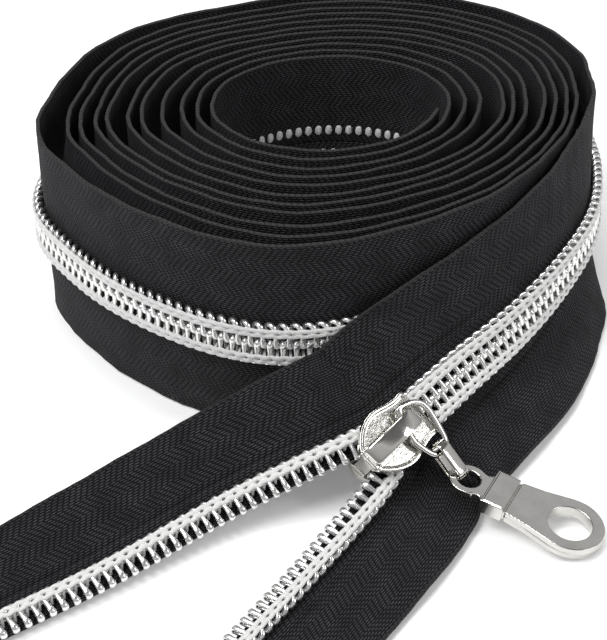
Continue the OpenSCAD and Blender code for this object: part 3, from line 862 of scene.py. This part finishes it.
# The slider's plan: its nose at -x, its wide mouth at +x; heights are from the chain's middle.
SHIELD = loop_curve(both_sides([
    (-7.5, 0), (-7.4, 0.8), (-6.9, 1.8), (-6.1, 2.7), (-4.8, 3.7), (-3.2, 4.4), (-1.6, 4.6),
    (-0.2, 4.35), (1.2, 4.0), (2.6, 3.8), (3.8, 3.85), (4.2, 3.5), (4.3, 2.6), (4.3, 0)]), 5)
neck = both_sides([(-7.0, 0), (-7.0, 1.1), (-5.9, 1.1), (-4.5, 0.75), (-3.4, 0.3), (-3.1, 0)])
wall = [(-1.0, 3.3), (1.2, 3.25), (4.0, 3.25), (4.1, 3.7), (2.6, 3.75), (1.2, 3.95), (-0.6, 4.3)]
flanges = [prism([(x, way * y) for x, y in wall], z0, z1)
           for z0, z1 in ((-1.2, -0.65), (0.65, 2.6)) for way in (1, -1)]
body = cast_piece("slider_casting", [
    prism(SHIELD, -2.1, -0.9), prism(neck, -1.2, 2.6), prism(SHIELD, 2.45, 3.3),
    ring_prism(SHIELD, inset(SHIELD, 0.55), 3.2, 3.62), *flanges,
    prism([(-7.3, -1.5), (-5.6, -1.6), (-5.6, 1.6), (-7.3, 1.5)], 3.2, 3.95),
    prism([(2.2, -1.1), (3.3, -1.0), (3.3, 1.0), (2.2, 1.1)], 3.2, 4.0)],
    0.085, 4, CAST, SLIDER_TURN, SLIDER_AT)
rides(body, SLIDER, "metal", "slider_body")


def open_curve(pts, steps=6):
    """An open smooth curve through the points."""
    q = np.array(pts, float)
    q = np.vstack([2 * q[0] - q[1], q, 2 * q[-1] - q[-2]])
    u = np.linspace(0, 1, steps, endpoint=False)
    out = [spline(q, np.full(steps, i), u) for i in range(len(q) - 3)]
    return np.vstack(out + [q[-2][None]])


def superellipse(n, power):
    th = np.arange(n) * 2 * np.pi / n
    c, s = np.cos(th), np.sin(th)
    return np.sign(c) * np.abs(c) ** (2 / power), np.sign(s) * np.abs(s) ** (2 / power)


def outward_normals(o):
    bm = bmesh.new()
    bm.from_mesh(o.data)
    bmesh.ops.recalc_face_normals(bm, faces=bm.faces)
    bm.to_mesh(o.data)
    bm.free()
    o.data.polygons.foreach_set("use_smooth", [True] * len(o.data.polygons))


def swept(name, path, wide, tall, wide_half, tall_half, mat, turn, at, closed, sides, power):
    """A bar of rounded section along a path; wide and tall are its section's two directions."""
    c, s = superellipse(sides, power)
    wh = np.broadcast_to(np.asarray(wide_half, float), (len(path),))
    th = np.broadcast_to(np.asarray(tall_half, float), (len(path),))
    rings = (path[:, None] + c[None, :, None] * (wide * wh[:, None])[:, None]
             + s[None, :, None] * (tall * th[:, None])[:, None])
    v = put(rings.reshape(-1, 3), turn, at)
    rows = len(path)
    if closed:
        f = [tuple(q) for q in grid_faces(rows, sides)]
        last = (rows - 1) * sides
        f += [(last + j, last + (j + 1) % sides, (j + 1) % sides, j) for j in range(sides)]
    else:
        f = capped(grid_faces(rows, sides), rows, sides, False)
    o = add_mesh(name, v, f, mat)
    outward_normals(o)
    return o


def upright(pts):
    """An x-z curve as a path, and the direction across it."""
    pts = np.asarray(pts)
    path = np.stack([pts[:, 0], np.zeros(len(pts)), pts[:, 1]], 1)
    return path, np.broadcast_to([0, 1.0, 0], path.shape)


cp, cw = upright(open_curve([(-6.75, 3.6), (-6.45, 4.15), (-5.75, 4.7), (-4.3, 5.4), (-2.4, 5.86),
                             (-0.4, 5.96), (1.3, 5.78), (2.25, 5.3), (2.72, 4.6), (2.8, 3.5)], 6))
share = np.linspace(0, 1, len(cp))
crown_half = 1.38 - 0.45 * ease((share - 0.72) / 0.28) + 0.12 * ease((0.25 - share) / 0.25)
crown = swept("slider_crown_strap", cp, cw, np.cross(unit(np.gradient(cp, axis=0)), cw),
              crown_half, 0.3, BRIGHT, SLIDER_TURN, SLIDER_AT, False, 28, 4.0)
rides(crown, SLIDER, "metal", "slider_crown_cap")

lp, lw = upright(open_curve([(-5.3, 3.75), (-4.0, 3.78), (-2.7, 3.82), (-1.9, 3.75), (-1.6, 3.4),
                             (-1.6, 2.6)], 5))
lock = swept("slider_lock_leaf", lp, lw, np.cross(unit(np.gradient(lp, axis=0)), lw),
             0.65, 0.17, BRIGHT, SLIDER_TURN, SLIDER_AT, False, 16, 4.0)
rides(lock, SLIDER, "metal", "slider_lock_spring")

ring_outer = loop_curve([
    (0.8, 2.6), (2.2, 2.55), (3.7, 1.95), (4.8, 0.9), (5.2, -0.5), (5, -2), (4.6, -3.8), (4.1, -5.4),
    (3.3, -6.4), (2.2, -6.65), (1.1, -6.5), (0.2, -5.8), (-0.4, -4.3), (-0.8, -2.4), (-0.3, -0.3),
    (0.3, 1.6)])
ring_inner = loop_curve([
    (1.6, 1.75), (2.4, 1.65), (3.4, 1.2), (4.1, 0.4), (4.25, -0.6), (4.05, -2), (3.7, -3.6), (3.3, -5),
    (2.8, -5.6), (2.1, -5.7), (1.4, -5.6), (0.9, -5.1), (0.5, -4), (0.2, -2.4), (0.65, -0.6),
    (1.2, 0.9)])
level = np.zeros((len(ring_outer), 1))
rp = np.hstack([(ring_outer + ring_inner) / 2, level])
gap = np.hstack([ring_outer - ring_inner, level])
ring = swept("pull_ring_cast", rp, unit(gap), np.broadcast_to([0, 0, 1.0], rp.shape),
             np.linalg.norm(gap, axis=1) / 2, 0.5, SATIN, RING_TURN, RING_AT, True, 18, 2.5)
rides(ring, "ring", "metal", "pull_ring")

LINK_BEND = 1.05 + 0.2      # inner radius and half the strip's thickness


def arc(x0, a0, a1, n=14):
    return [(x0 + LINK_BEND * math.cos(a), LINK_BEND * math.sin(a)) for a in np.linspace(a0, a1, n)]


fifths = (0.2, 0.4, 0.6, 0.8)
track = arc(LINK_REACH, -math.pi / 2, math.pi / 2) + [(LINK_REACH * f, LINK_BEND) for f in fifths[::-1]]
track += arc(0, math.pi / 2, 3 * math.pi / 2) + [(LINK_REACH * f, -LINK_BEND) for f in fifths]
tp, tw = upright(track)
link_way = unit(np.roll(tp, -1, 0) - np.roll(tp, 1, 0))
link = swept("connector_link_strip", tp, tw, np.cross(link_way, tw), 0.9, 0.2, BRIGHT,
             LINK_TURN, RING_HOOK, True, 16, 4.5)
rides(link, "link", "metal", "pull_link")


HOLE_X, HOLE_R, PLATE_R = 15.0, 3.1, 4.85
PLATE_END = 6.7             # where the plate meets the groove
ROUND = 96                  # points round a circle


def circle(cx, r, n=ROUND):
    return [(cx + r * math.cos(2 * math.pi * i / n), r * math.sin(2 * math.pi * i / n)) for i in range(n)]


def plate_outline(grow=0.0, n=ROUND):
    """The plate's outline, as rays from its hole: round end, sides closing in to the groove."""
    edge = [(HOLE_X, PLATE_R), (13.9, 4.74), (12.4, 4.38), (10.0, 3.82), (PLATE_END, 3.4)]
    pairs = [(np.array([x0 - HOLE_X, y0 * way]), np.array([x1 - HOLE_X, y1 * way]))
             for (x0, y0), (x1, y1) in zip(edge, edge[1:]) for way in (1, -1)]
    out = []
    for i in range(n):
        a = 2 * math.pi * i / n
        d = np.array([math.cos(a), math.sin(a)])
        far = PLATE_R
        if d[0] < 0:
            far = (HOLE_X - PLATE_END) / -d[0]
            for p0, p1 in pairs:
                e = p1 - p0
                cross = d[0] * e[1] - d[1] * e[0]
                if abs(cross) > 1e-9:
                    ray = (p0[0] * e[1] - p0[1] * e[0]) / cross
                    share = (p0[0] * d[1] - p0[1] * d[0]) / cross
                    if ray > 0 and -1e-6 <= share <= 1 + 1e-6:
                        far = min(far, ray)
        out.append((HOLE_X + (far + grow) * d[0], (far + grow) * d[1]))
    return out


def block(x0, x1, y, z):
    return prism([(x0, -y), (x1, -y), (x1, y), (x0, y)], -z, z)


neck_side = [(1.75, -1.2), (1.5, -2.3), (2.1, -2.15), (2.55, -2.3), (2.85, -2.75), (3.1, -3.4),
             (3.4, -3.45)]
tab = cast_piece("pull_tab_cast", [
    ring_prism(circle(0, 2.75), circle(0, 1.7), -0.5, 0.5),
    prism(neck_side + [(x, -y) for x, y in neck_side[::-1]], -0.5, 0.5),
    block(3.0, 6.4, 3.45, 1.1), block(3.35, 6.1, 3.1, 1.16), block(5.8, 7.1, 3.3, 0.62),
    ring_prism(plate_outline(), circle(HOLE_X, HOLE_R), -0.85, 0.85),
    ring_prism(plate_outline(0.07), plate_outline(-0.5), -0.18, 0.0)],
    0.075, 2, SATIN, PULL_TURN, PULL_AT)
rides(tab, "tab", "metal", "pull_tab")
